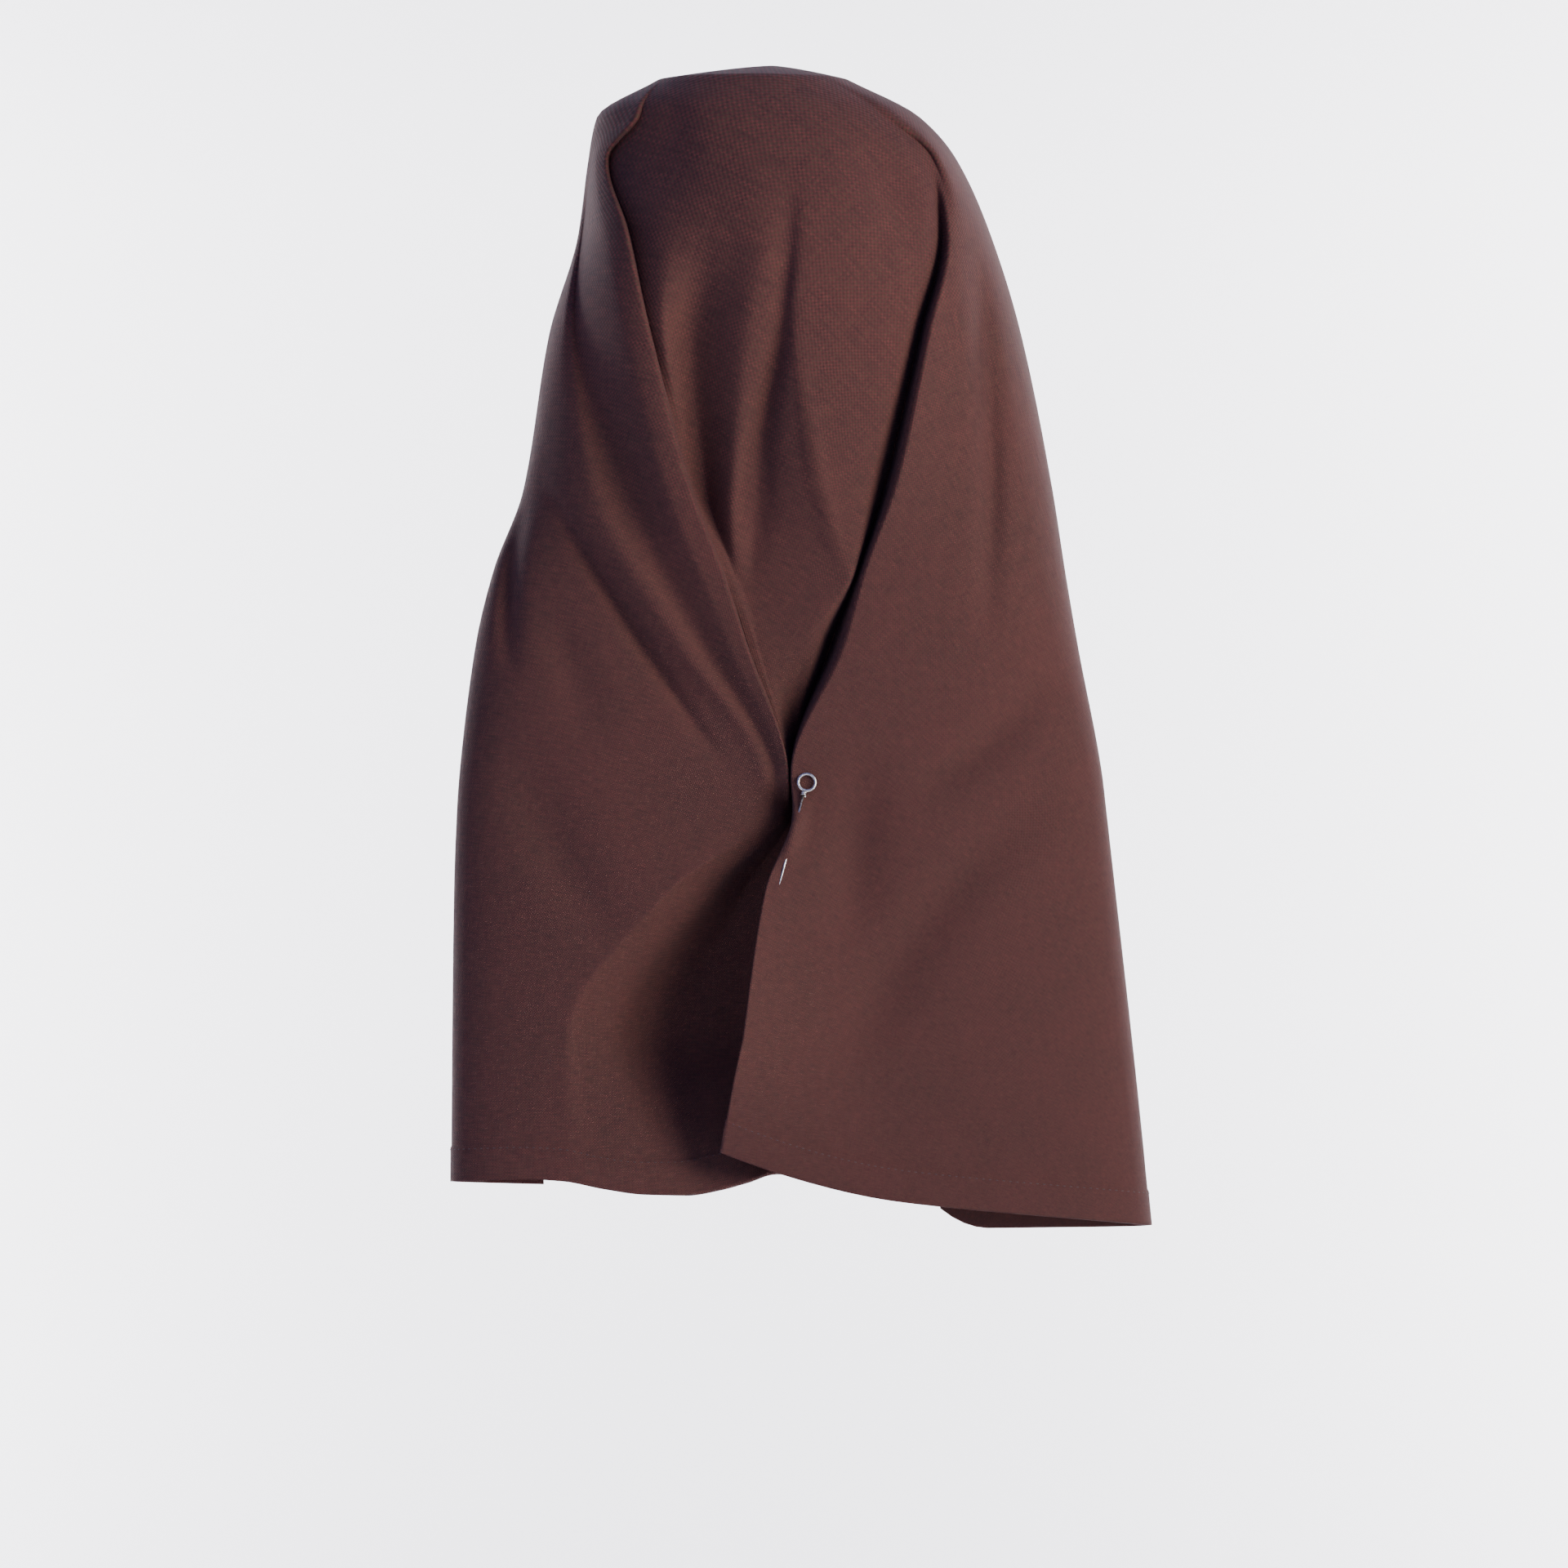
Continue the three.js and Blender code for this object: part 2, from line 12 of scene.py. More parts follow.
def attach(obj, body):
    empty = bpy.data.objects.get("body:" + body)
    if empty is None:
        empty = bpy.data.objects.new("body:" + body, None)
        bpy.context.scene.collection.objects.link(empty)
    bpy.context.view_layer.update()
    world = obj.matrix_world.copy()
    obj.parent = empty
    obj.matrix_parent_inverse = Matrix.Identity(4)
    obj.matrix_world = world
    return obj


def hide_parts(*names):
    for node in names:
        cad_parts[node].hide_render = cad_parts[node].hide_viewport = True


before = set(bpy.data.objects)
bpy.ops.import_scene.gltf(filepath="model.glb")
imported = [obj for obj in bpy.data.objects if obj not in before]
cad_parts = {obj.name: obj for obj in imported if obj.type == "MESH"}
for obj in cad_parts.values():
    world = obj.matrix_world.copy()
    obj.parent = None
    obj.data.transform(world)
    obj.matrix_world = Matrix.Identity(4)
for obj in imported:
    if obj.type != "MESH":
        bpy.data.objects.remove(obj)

log = logging.getLogger("veil")

MM = 0.001
BODY = "root"
CLOTH_NODE = "veil_cloth"
PIN_NODE = "veil_pin"

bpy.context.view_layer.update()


class Wide(Enum):
    """The named width that a section's reach follows."""

    HEAD = "head"
    HEM = "hem"


@dataclass(frozen=True)
class Section:
    """One level of the plain drape. Lengths are shares of the veil's own sizes."""

    drop: float
    wide: Wide
    left: float
    right: float
    back: float
    side: float
    front: float
    square: float


@dataclass(frozen=True)
class Line:
    """A line that the cloth runs through, with one share for each section."""

    name: str
    hem: float
    cells: int
    across: tuple[float, ...]
    proud: tuple[float, ...] = ()
    edge: bool = False


@dataclass(frozen=True)
class SoftFold:
    """A soft dent or rib that runs down through three places of the cloth."""

    name: str
    drop: tuple[float, float, float]
    across: tuple[float, float, float]
    proud: float
    spread: float


SECTIONS = (
    Section(0.0127, Wide.HEAD, 0.271, 0.181, 0.24, 0.0, 0.21, 2.0),
    Section(0.0445, Wide.HEAD, 0.415, 0.350, 0.34, 0.0, 0.38, 2.0),
    Section(0.0813, Wide.HEAD, 0.435, 0.438, 0.41, 0.0, 0.49, 2.1),
    Section(0.1476, Wide.HEAD, 0.459, 0.519, 0.49, -0.03, 0.44, 2.2),
    Section(0.2334, Wide.HEAD, 0.526, 0.589, 0.51, -0.10, 0.37, 2.2),
    Section(0.3680, Wide.HEAD, 0.585, 0.661, 0.51, -0.20, 0.25, 2.3),
    Section(0.4386, Wide.HEAD, 0.655, 0.690, 0.52, -0.25, 0.16, 2.4),
    Section(0.5018, Wide.HEM, 0.423, 0.437, 0.53, -0.29, 0.03, 2.5),
    Section(0.6135, Wide.HEM, 0.445, 0.471, 0.55, -0.36, -0.24, 2.7),
    Section(0.6400, Wide.HEM, 0.448, 0.476, 0.557, -0.37, -0.26, 2.7),
    Section(0.7107, Wide.HEM, 0.452, 0.489, 0.58, -0.39, -0.32, 2.8),
    Section(0.8352, Wide.HEM, 0.454, 0.512, 0.60, -0.41, -0.34, 3.0),
    Section(0.9050, Wide.HEM, 0.4545, 0.524, 0.61, -0.42, -0.35, 3.0),
    Section(1.0000, Wide.HEM, 0.455, 0.539, 0.62, -0.43, -0.36, 3.0),
)
BROW, TEMPLE, SKIRT = SECTIONS[2].drop, SECTIONS[3].drop, SECTIONS[11].drop

NONE = (0.0,) * len(SECTIONS)
LINES = (
    Line("left_edge", 0.962, 26,
         (0.5, 0.5, 0.5, 0.14, 0.13, 0.19, 0.215, 0.24, 0.20, 0.185, 0.15, 0.135, 0.132, 0.13), edge=True),
    Line("left_side", 0.9585, 30, NONE, NONE),
    Line("left_valley", 0.955, 12,
         (0.006, 0.006, 0.003, 0.003, 0.028, 0.04, 0.165, 0.265, 0.435, 0.447, 0.25, 0.103, 0.106, 0.105),
         (0, 0, 0, 0, 0, -0.08, -0.22, -0.22, -0.08, -0.15, -0.03, 0, 0, 0)),
    Line("left_ridge", 0.9565, 12,
         (0.01, 0.012, 0.006, 0.008, 0.047, 0.124, 0.244, 0.342, 0.473, 0.476, 0.32, 0.163, 0.162, 0.16),
         (0, 0, 0, -0.1, -0.1, -0.02, -0.03, -0.03, -0.03, -0.25, -0.02, 0, 0, 0)),
    Line("roll_foot", 0.963, 12,
         (0.014, 0.02, 0.01, 0.014, 0.066, 0.191, 0.297, 0.379, 0.49, 0.4935, 0.34, 0.188, 0.198, 0.219),
         (0, 0, 0, -0.2, -0.25, -0.3, -0.2, -0.15, -0.08, -0.35, -0.12, -0.1, -0.08, -0.03)),
    Line("roll_crest", 0.9675, 8,
         (0.022, 0.085, 0.028, 0.075, 0.17, 0.276, 0.365, 0.424, 0.5025, 0.5036, 0.382, 0.233, 0.25, 0.277),
         (0, 0, 0.14, 0.2, 0.18, 0.12, 0.08, 0.06, 0, -0.45, -0.42, -0.34, -0.2, -0.06)),
    Line("roll_edge", 0.968, 6,
         (0.034, 0.127, 0.05, 0.117, 0.21, 0.312, 0.397, 0.447, 0.5102, 0.51, 0.412, 0.28, 0.3, 0.336),
         (0, 0.05, 0.12, 0.16, 0.14, 0.1, 0.1, 0.1, 0.05, -0.55, -0.92, -0.88, -0.52, -0.1)),
    Line("roll_hollow", 0.9635, 8,
         (0.055, 0.142, 0.058, 0.125, 0.216, 0.317, 0.401, 0.451, 0.5115, 0.513, 0.441, 0.356, 0.358, 0.383),
         (0, -0.1, -0.14, -0.2, -0.05, -0.3, -0.1, -0.1, -0.1, -0.65, -1.2, -1.38, -0.9, -0.15)),
    Line("strip_one", 0.957, 10,
         (0.12, 0.23, 0.19, 0.21, 0.242, 0.33, 0.412, 0.463, 0.5125, 0.5143, 0.462, 0.416, 0.405, 0.423),
         (0, -0.1, -0.2, -0.08, 0, -0.52, -0.15, -0.1, -0.15, -0.7, -1.15, -1.5, -1.0, -0.15)),
    Line("deep_valley", 0.95, 10,
         (0.22, 0.345, 0.32, 0.32, 0.31, 0.347, 0.42, 0.47, 0.5132, 0.5155, 0.486, 0.452, 0.448, 0.464),
         (0, 0, -0.05, -0.12, -0.48, -0.62, -0.2, -0.12, -0.2, -0.8, -1.0, -1.3, -0.9, -0.25)),
    Line("strip_two", 0.9505, 10,
         (0.35, 0.478, 0.453, 0.449, 0.424, 0.397, 0.43, 0.478, 0.514, 0.5168, 0.505, 0.466, 0.474, 0.505),
         (0, 0, 0, -0.03, -0.08, -0.2, -0.2, -0.12, -0.3, -0.9, -0.75, -0.9, -0.65, -0.3)),
    Line("channel", 0.949, 8,
         (0.48, 0.575, 0.536, 0.509, 0.489, 0.428, 0.459, 0.49, 0.5146, 0.5174, 0.501, 0.462, 0.472, 0.505),
         (0, 0, 0, -0.08, -0.2, -0.3, -0.2, -0.12, -0.5, -0.85, -0.55, -0.5, -0.45, -0.2)),
    Line("crease", 0.944, 8,
         (0.58, 0.655, 0.603, 0.559, 0.525, 0.56, 0.623, 0.546, 0.5153, 0.518, 0.489, 0.45, 0.453, 0.464),
         (0, 0, 0, 0, -0.02, 0.06, 0.05, -0.1, -0.7, -0.7, -0.3, -0.28, -0.24, -0.15)),
    Line("slit_lip", 0.9395, 6,
         (0.74, 0.78, 0.884, 0.845, 0.758, 0.655, 0.63, 0.568, 0.5159, 0.5187, 0.484, 0.444, 0.44, 0.438),
         (0, 0, 0, -0.03, -0.08, -0.08, 0, -0.15, -0.8, -0.5, -0.15, -0.1, -0.12, -0.1)),
    Line("slit_floor", 0.9365, 6,
         (0.78, 0.82, 0.905, 0.876, 0.785, 0.682, 0.637, 0.59, 0.5165, 0.5193, 0.479, 0.438, 0.425, 0.412),
         (0, 0, 0.02, -0.35, -0.8, -0.8, -0.85, -1.0, -0.5, -0.3, 0, 0.15, 0.05, -0.05)),
    Line("lap_edge", 0.9314, 26,
         (0.86, 0.865, 0.925, 0.897, 0.807, 0.704, 0.652, 0.614, 0.5176, 0.5199, 0.472, 0.429, 0.409, 0.387),
         (0, 0, 0.05, 0.1, 0.15, 0.15, 0.12, 0.1, 0.12, 0.12, 0.45, 0.8, 0.6, 0.2)),
    Line("right_ridge", 0.9725, 40,
         (0.92, 0.924, 0.946, 0.928, 0.873, 0.819, 0.80, 0.77, 0.70, 0.695, 0.66, 0.644, 0.637, 0.628),
         (0, 0.15, 0.25, 0.12, 0.08, 0.05, 0.12, 0.1, 0.05, 0.05, 0.05, 0.05, 0.05, 0.05)),
    Line("right_side", 0.9958, 28, (1.0,) * len(SECTIONS), NONE),
    Line("right_edge", 1.0, 1,
         (0.5, 0.5, 0.5, 0.80, 0.81, 0.765, 0.76, 0.757, 0.766, 0.76, 0.74, 0.716, 0.709, 0.70), edge=True),
)
LINE_NAMES = [line.name for line in LINES]
LAP_EDGE = LINE_NAMES.index("lap_edge")

SOFT_FOLDS = (
    SoftFold("left_crease", (0.36, 0.47, 0.615), (0.03, 0.23, 0.425), -0.15, 0.022),
    SoftFold("shoulder_dent", (0.36, 0.435, 0.53), (0.0, 0.03, 0.065), -0.22, 0.022),
    SoftFold("left_dent", (0.46, 0.53, 0.59), (0.11, 0.17, 0.21), -0.08, 0.05),
    SoftFold("lower_left_dent", (0.58, 0.67, 0.77), (0.09, 0.15, 0.245), -0.12, 0.07),
    SoftFold("crown_dent", (0.06, 0.11, 0.17), (0.77, 0.78, 0.77), -0.15, 0.05),
    SoftFold("temple_dent", (0.13, 0.26, 0.50), (0.95, 0.91, 0.85), -0.2, 0.03),
    SoftFold("channel_dent", (0.2, 0.34, 0.46), (0.52, 0.452, 0.452), -0.12, 0.02),
    SoftFold("pin_drag", (0.59, 0.67, 0.77), (0.64, 0.61, 0.594), -0.12, 0.06),
    SoftFold("right_dent", (0.52, 0.58, 0.64), (0.95, 0.84, 0.70), -0.12, 0.07),
    SoftFold("right_sweep", (0.61, 0.73, 0.87), (0.94, 0.72, 0.56), -0.12, 0.08),
    SoftFold("crease_edge", (0.23, 0.345, 0.46), (0.523, 0.552, 0.63), 0.1, 0.012),
)


def through(knots: Sequence[float], values: np.ndarray, at: Union[float, np.ndarray]) -> np.ndarray:
    """Runs a smooth curve through values at knots, that never swings past a value.

    Args:
        knots: The places of the values, rising.
        values: One value for each knot along the last axis.
        at: The places to read.

    Returns:
        The curve's values at those places, along the last axis.
    """
    knots = np.asarray(knots, float)
    values = np.asarray(values, float)
    at = np.atleast_1d(np.asarray(at, float))
    slopes = np.diff(values, axis=-1) / np.diff(knots)
    before, after = slopes[..., :-1], slopes[..., 1:]
    same_way = before * after > 0
    both = np.where(same_way, before + after, 1.0)
    tangents = np.empty_like(values)
    tangents[..., 1:-1] = np.where(same_way, 2 * before * after / both, 0.0)
    tangents[..., 0] = slopes[..., 0]
    tangents[..., -1] = slopes[..., -1]
    low = np.clip(np.searchsorted(knots, at) - 1, 0, len(knots) - 2)
    span = knots[low + 1] - knots[low]
    u = np.clip((at - knots[low]) / span, 0.0, 1.0)
    bend = u * u * (3 - 2 * u)
    start = u * (1 - u) ** 2 * span * tangents[..., low]
    end = u * u * (u - 1) * span * tangents[..., low + 1]
    return values[..., low] * (1 - bend) + values[..., low + 1] * bend + start + end


@dataclass
class Drape:
    """The veil's shape: where every thread of the cloth lies."""

    veil_drop: float = 573 * MM
    head_width: float = 208 * MM
    head_depth: float = 192 * MM
    hem_width: float = 342 * MM
    fold_depth: float = 30 * MM
    corner_width: float = 24 * MM
    corner_rise: float = 10 * MM

    def _sections(self, drops: np.ndarray) -> dict[str, np.ndarray]:
        """Works out the plain sections.

        Args:
            drops: Shares of the drop, one for each row.

        Returns:
            Each measure of the sections, one value for each row.
        """
        wide = {Wide.HEAD: self.head_width, Wide.HEM: self.hem_width}

        def size(value: Callable[[Section], float]) -> np.ndarray:
            """Reads one measure at each row."""
            return through([s.drop for s in SECTIONS], [value(s) for s in SECTIONS], drops)

        return {
            "left": size(lambda s: -s.left * wide[s.wide]),
            "right": size(lambda s: s.right * wide[s.wide]),
            "back": size(lambda s: -s.back * self.head_depth),
            "side": size(lambda s: s.side * self.head_depth),
            "front": size(lambda s: s.front * self.head_depth),
            "square": size(lambda s: s.square),
        }

    def _edge(self, line: Line, drops: np.ndarray) -> np.ndarray:
        """Finds where a front edge lies across each section.

        Args:
            line: The edge's line.
            drops: Shares of the drop, one for each row.

        Returns:
            Its shares of the width: the middle above the brow, apart below it.
        """
        shares = [share if s.drop > BROW else line.across[3] for s, share in zip(SECTIONS, line.across)]
        fall = np.clip((drops - BROW) / (TEMPLE - BROW), 0, 1)
        opening = np.sqrt(1 - (1 - fall) ** 2)
        return 0.5 + (through([s.drop for s in SECTIONS], shares, drops) - 0.5) * opening

    def points(self, drops: Sequence[float], places: Sequence[float]) -> np.ndarray:
        """Finds a grid of places on the cloth.

        Args:
            drops: Shares of the drop, one for each row.
            places: Places along the lines, one for each column; 0 is the left front edge.

        Returns:
            The points, rows by columns by three.
        """
        drops = np.asarray(drops, float)
        places = np.asarray(places, float)
        part = {name: value[:, None] for name, value in self._sections(drops).items()}
        knots = np.arange(len(LINES))
        section_drops = [s.drop for s in SECTIONS]
        angles = np.empty((len(drops), len(LINES)))
        proud = np.zeros_like(angles)
        for i, line in enumerate(LINES):
            if line.edge:
                angles[:, i] = -math.pi / 2 if i == 0 else 1.5 * math.pi
            else:
                angles[:, i] = np.arccos(np.clip(1 - 2 * through(section_drops, line.across, drops), -1, 1))
                proud[:, i] = through(section_drops, line.proud, drops)
        angle = through(knots, angles, places)
        width = part["right"] - part["left"]
        middle = (part["left"] + part["right"]) / 2
        across = -np.cos(angle)
        back_x = middle + across * width / 2
        rounding = np.clip(1 - np.abs(across) ** part["square"], 0, 1) ** (1 / part["square"])
        back_y = part["side"] + (part["back"] - part["side"]) * rounding
        back_y = back_y - through(knots, proud, places) * self.fold_depth
        back_y = back_y - self._soft_relief(back_x, drops, part)
        leftward = across <= 0
        left_edge, right_edge = (self._edge(line, drops)[:, None] for line in (LINES[0], LINES[-1]))
        edge = part["left"] + np.where(leftward, left_edge, right_edge) * width
        side = np.where(leftward, part["left"], part["right"])
        front_x = edge + (side - edge) * np.abs(across)
        front_y = part["side"] + (part["front"] - part["side"]) * rounding
        behind = np.sin(angle) >= 0
        foot = np.broadcast_to(through(knots, [line.hem for line in LINES], places), front_x.shape)
        near_corner = np.clip(1 - np.abs(front_x - edge) / self.corner_width, 0, 1)
        rounded = ~behind & ~leftward
        foot = foot - np.where(rounded, near_corner**2 * self.corner_rise / self.veil_drop, 0.0)
        skirt = np.clip((drops - SKIRT) / (1 - SKIRT), 0, None)[:, None]
        level = np.where(drops[:, None] <= SKIRT, drops[:, None], SKIRT + (foot - SKIRT) * skirt)
        x = np.where(behind, back_x, front_x)
        y = np.where(behind, back_y, front_y)
        return np.stack([x, y, -level * self.veil_drop], axis=-1)

    def _soft_relief(self, x: np.ndarray, drops: np.ndarray, part: Mapping[str, np.ndarray]) -> np.ndarray:
        """Adds up how far the soft folds push the cloth out.

        Args:
            x: The points' places across.
            drops: Shares of the drop, one for each row.
            part: The plain sections, one value for each row.

        Returns:
            The relief at each point.
        """
        relief = np.zeros_like(x)
        for fold in SOFT_FOLDS:
            reach = np.clip((drops - fold.drop[0]) / (fold.drop[2] - fold.drop[0]), 0, 1)
            across = through(fold.drop, fold.across, drops)[:, None]
            centre = part["left"] + across * (part["right"] - part["left"])
            off = (x - centre) / (fold.spread * self.head_width)
            relief += fold.proud * self.fold_depth * np.sin(math.pi * reach)[:, None] * np.exp(-off * off)
        return relief


@dataclass
class PinSeat:
    """Where the pin lies on the lapped panel, and the pucker of cloth over it."""

    drape: Drape
    entry_drop: float = 0.640
    entry_lap: float = 0.185
    entry_off: float = 3.7 * MM
    exit_drop: float = 0.678
    exit_lap: float = 0.20
    exit_off: float = 2.1 * MM
    pin_length: float = 58 * MM
    ring_share: float = 0.22
    pucker_height: float = 6.5 * MM
    pucker_spread: float = 4.0 * MM
    pucker_reach: float = 0.45

    def _place(self, drop: float, lap: float, off: float) -> Vector:
        """Finds a place that stands off the lapped panel."""
        point = self.drape.points([drop], [LAP_EDGE + lap])[0, 0]
        return Vector(point) + Vector((0, -off, 0))

    @property
    def entry(self) -> Vector:
        """The place where the pin goes in."""
        return self._place(self.entry_drop, self.entry_lap, self.entry_off)

    @property
    def exit(self) -> Vector:
        """The place where the pin comes out."""
        return self._place(self.exit_drop, self.exit_lap, self.exit_off)

    @property
    def down(self) -> Vector:
        """The pin's direction, from its ring to its point."""
        return (self.exit - self.entry).normalized()

    @property
    def ring_centre(self) -> Vector:
        """The centre of the pin's ring."""
        return self.entry - self.down * self.ring_share * self.pin_length

    def pucker(self, points: np.ndarray) -> np.ndarray:
        """Works out how far the cloth rises over the pin.

        Args:
            points: Points of the cloth.

        Returns:
            The rise at each point.
        """
        entry, down = np.array(self.entry), np.array(self.down)
        span = (self.exit - self.entry).length
        along = (points - entry) @ down
        reach = self.pucker_reach
        share = np.clip((along + span * reach) / (span * (1 + 2 * reach)), 0, 1)
        aside = (points[..., 0] - entry[0] - down[0] * along) / self.pucker_spread
        return self.pucker_height * np.sin(math.pi * share) ** 2 * np.exp(-aside * aside)


class Signal:
    """A shader socket that can be used in a Python expression on values."""

    def __init__(self, graph: "Graph", socket: bpy.types.NodeSocket) -> None:
        """Wraps a socket.

        Args:
            graph: The graph that the socket belongs to.
            socket: The output socket.
        """
        self.graph = graph
        self.socket = socket

    def _math(self, operation: str, first: Any, second: Any) -> "Signal":
        """Adds a Math node.

        Args:
            operation: The node's operation.
            first: Its first value or signal.
            second: Its second value or signal.

        Returns:
            The node's result.
        """
        return self.graph.node("ShaderNodeMath", {"operation": operation}, {0: first, 1: second})

    def __add__(self, other: Any) -> "Signal":
        """Adds."""
        return self._math("ADD", self, other)

    __radd__ = __add__

    def __sub__(self, other: Any) -> "Signal":
        """Subtracts."""
        return self._math("SUBTRACT", self, other)

    def __rsub__(self, other: Any) -> "Signal":
        """Subtracts from a number."""
        return self._math("SUBTRACT", other, self)

    def __mul__(self, other: Any) -> "Signal":
        """Multiplies."""
        return self._math("MULTIPLY", self, other)

    __rmul__ = __mul__

    def sine(self) -> "Signal":
        """Takes the sine."""
        return self._math("SINE", self, 0.0)

    def clamped(self) -> "Signal":
        """Keeps the value between 0 and 1."""
        return self.graph.node("ShaderNodeClamp", {}, {0: self})


Colour = tuple[float, float, float]


class Graph:
    """A material's nodes, built from Python expressions."""

    def __init__(self, name: str) -> None:
        """Makes an empty node material with a Principled shader.

        Args:
            name: The material's name.
        """
        self.material = bpy.data.materials.new(name)
        self.material.use_nodes = True
        self.nodes = self.material.node_tree.nodes
        self.links = self.material.node_tree.links
        self.nodes.clear()
        self.output = self.nodes.new("ShaderNodeOutputMaterial")
        self.shader = self.nodes.new("ShaderNodeBsdfPrincipled")
        self.links.new(self.shader.outputs[0], self.output.inputs[0])

    def node(self, kind: str, settings: Mapping[str, Any], sockets: Mapping[Any, Any],
             out: Any = 0) -> Signal:
        """Adds one node.

        Args:
            kind: The node's type.
            settings: Its settings, which are set first; "stops" fills a colour ramp.
            sockets: Values or signals for its input sockets.
            out: The output to return.

        Returns:
            That output.
        """
        made = self.nodes.new(kind)
        for key, value in settings.items():
            if key == "stops":
                ramp = made.color_ramp
                while len(ramp.elements) < len(value):
                    ramp.elements.new(0.5)
                for element, (place, shade) in zip(ramp.elements, value):
                    element.position = place
                    element.color = (*shade, 1.0)
            else:
                setattr(made, key, value)
        for key, value in sockets.items():
            self.feed(made.inputs[key], value)
        return Signal(self, made.outputs[out])

    def feed(self, socket: bpy.types.NodeSocket, value: Any) -> None:
        """Sets a socket to a value, or links a signal to it.

        Args:
            socket: The input socket.
            value: The value or the signal.
        """
        if isinstance(value, Signal):
            self.links.new(value.socket, socket)
        else:
            socket.default_value = value

    def mix(self, mask: Union[Signal, float], first: Any, second: Any) -> Signal:
        """Mixes two colours.

        Args:
            mask: 0 gives the first colour and 1 the second.
            first: A colour or a signal.
            second: A colour or a signal.

        Returns:
            The mixed colour.
        """
        made = self.nodes.new("ShaderNodeMix")
        made.data_type = "RGBA"
        self.feed(made.inputs[0], mask)
        for index, value in ((6, first), (7, second)):
            self.feed(made.inputs[index], value if isinstance(value, Signal) else (*value, 1.0))
        return Signal(self, made.outputs[2])

    def noise(self, place: Signal, scale: float, detail: float = 2.0, roughness: float = 0.5) -> Signal:
        """Adds soft noise.

        Args:
            place: The coordinates.
            scale: Lumps to the metre.
            detail: Finer layers.
            roughness: How strong the finer layers are.

        Returns:
            A value about 0.5.
        """
        sockets = {"Vector": place, "Scale": scale, "Detail": detail, "Roughness": roughness}
        return self.node("ShaderNodeTexNoise", {"noise_dimensions": "3D"}, sockets)

    def scaled(self, place: Signal, factors: Colour) -> Signal:
        """Stretches coordinates by a factor on each axis."""
        return self.node("ShaderNodeVectorMath", {"operation": "MULTIPLY"}, {0: place, 1: factors})

    def dress(self, obj: bpy.types.Object) -> None:
        """Gives the material to an object, in place of its own.

        Args:
            obj: The object.
        """
        obj.data.materials.clear()
        obj.data.materials.append(self.material)


@dataclass(frozen=True)
class WovenCloth:
    """A matt plain weave of reddish warp and olive-brown weft."""

    name: str = "brown_canvas"
    warp: Colour = (0.116, 0.031, 0.025)
    weft: Colour = (0.062, 0.036, 0.020)
    shade: Colour = (0.022, 0.010, 0.010)
    thread: float = 0.55 * MM
    relief: float = 0.16 * MM
    roughness: float = 0.88
    specular: float = 0.25
    sheen: float = 0.02
    sheen_roughness: float = 0.4
    sheen_tint: Colour = (0.75, 0.70, 1.0)
    wander_scale: float = 60.0
    wander_reach: float = 0.8 * MM
    slub_across: float = 1500.0
    slub_along: float = 160.0
    slub_contrast: float = 1.5
    slub_dark: float = 0.2
    patch_scale: float = 18.0
    patch_contrast: float = 1.6
    patch_share: float = 0.25

    def build(self) -> Graph:
        """Builds the weave.

        Returns:
            The finished material.
        """
        g = Graph(self.name)
        uv = g.node("ShaderNodeUVMap", {"uv_map": "weave"}, {})
        noise = {"Vector": uv, "Scale": self.wander_scale, "Detail": 2.0}
        wander = g.node("ShaderNodeTexNoise", {}, noise, "Color")
        reach = {0: wander, "Scale": self.wander_reach}
        drift = g.node("ShaderNodeVectorMath", {"operation": "SCALE"}, reach)
        threads = g.node("ShaderNodeVectorMath", {"operation": "ADD"}, {0: uv, 1: drift})
        split = g.node("ShaderNodeSeparateXYZ", {}, {0: threads})
        u, v = split, Signal(g, split.socket.node.outputs[1])
        turns = math.pi / self.thread
        over = (u * turns).sine() * (v * turns).sine()
        warp_up = (over * 3.0 + 0.5).clamped()
        slub_u = g.noise(g.scaled(threads, (self.slub_across, self.slub_along, 1.0)), 1.0, 2.0)
        slub_v = g.noise(g.scaled(threads, (self.slub_along, self.slub_across, 1.0)), 1.0, 2.0)
        patches = g.noise(uv, self.patch_scale, 3.0, 0.6)
        cloud = ((patches - 0.5) * self.patch_contrast + 0.5).clamped()
        warp_lit = (slub_u * self.slub_contrast - self.slub_dark).clamped()
        weft_lit = (slub_v * self.slub_contrast - self.slub_dark).clamped()
        warp = g.mix(warp_lit, self.shade, self.warp)
        weft = g.mix(weft_lit, self.shade, self.weft)
        woven = g.mix(warp_up, weft, warp)
        mottled = g.mix(cloud * self.patch_share, woven, self.warp)
        g.feed(g.shader.inputs["Base Color"], mottled)
        g.feed(g.shader.inputs["Roughness"], self.roughness)
        g.feed(g.shader.inputs["Specular IOR Level"], self.specular)
        g.feed(g.shader.inputs["Sheen Weight"], self.sheen)
        g.feed(g.shader.inputs["Sheen Roughness"], self.sheen_roughness)
        g.feed(g.shader.inputs["Sheen Tint"], (*self.sheen_tint, 1.0))
        height = over * 0.6 + slub_u * 0.3 + slub_v * 0.3
        bump = g.node("ShaderNodeBump", {}, {"Strength": 1.0, "Distance": self.relief, "Height": height})
        g.feed(g.shader.inputs["Normal"], bump)
        return g


